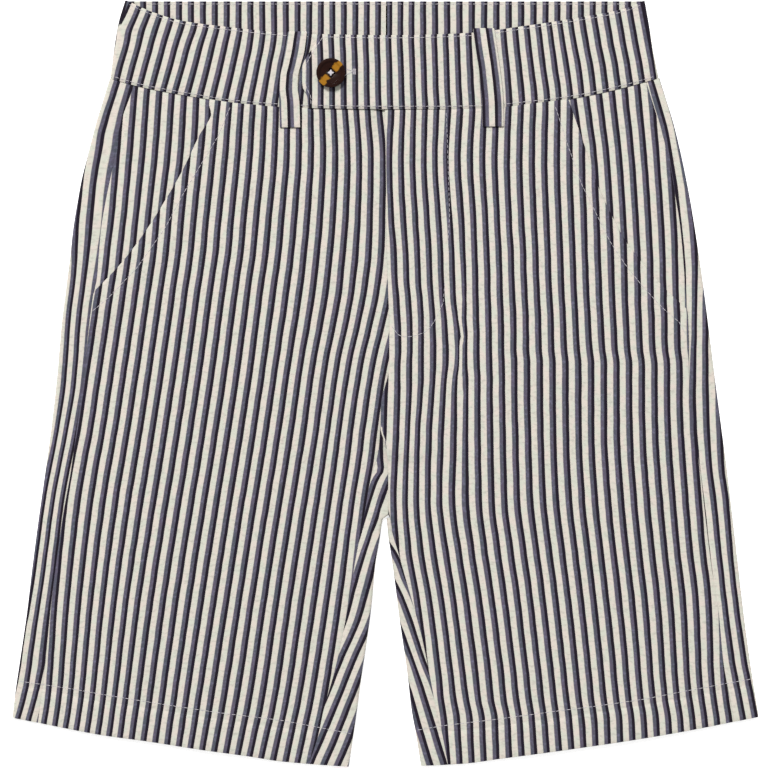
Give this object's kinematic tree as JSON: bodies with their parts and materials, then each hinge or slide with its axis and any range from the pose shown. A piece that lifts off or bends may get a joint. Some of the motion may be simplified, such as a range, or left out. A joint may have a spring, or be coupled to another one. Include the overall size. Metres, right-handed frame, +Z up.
{
  "type": "bermuda shorts",
  "caption": "Striped seersucker bermuda shorts laid flat, with a buttoned tab waistband, belt loops, fly front, slanted side pockets and topstitched hems.",
  "frame": {"origin": "centre of the bounding box, on the floor that the back panels rest on", "axes": "+X to the wearer's left, +Y from the hems towards the waist, +Z up from the floor through the plies"},
  "size_m": [0.4032, 0.413, 0.0091],
  "materials": {
    "seersucker": "puckered cotton with cream, slate grey and near-black stripes",
    "button": "polished dark tortoiseshell resin"
  },
  "bodies": {
    "root": {"back_right": "seersucker", "back_left": "seersucker", "front_right": "seersucker", "front_left": "seersucker", "pocket_facing_right": "seersucker", "pocket_facing_left": "seersucker", "waistband_right": "seersucker", "waistband_left": "seersucker", "belt_loop_right": "seersucker", "belt_loop_left": "seersucker", "button": "button"}
  },
  "joints": []
}
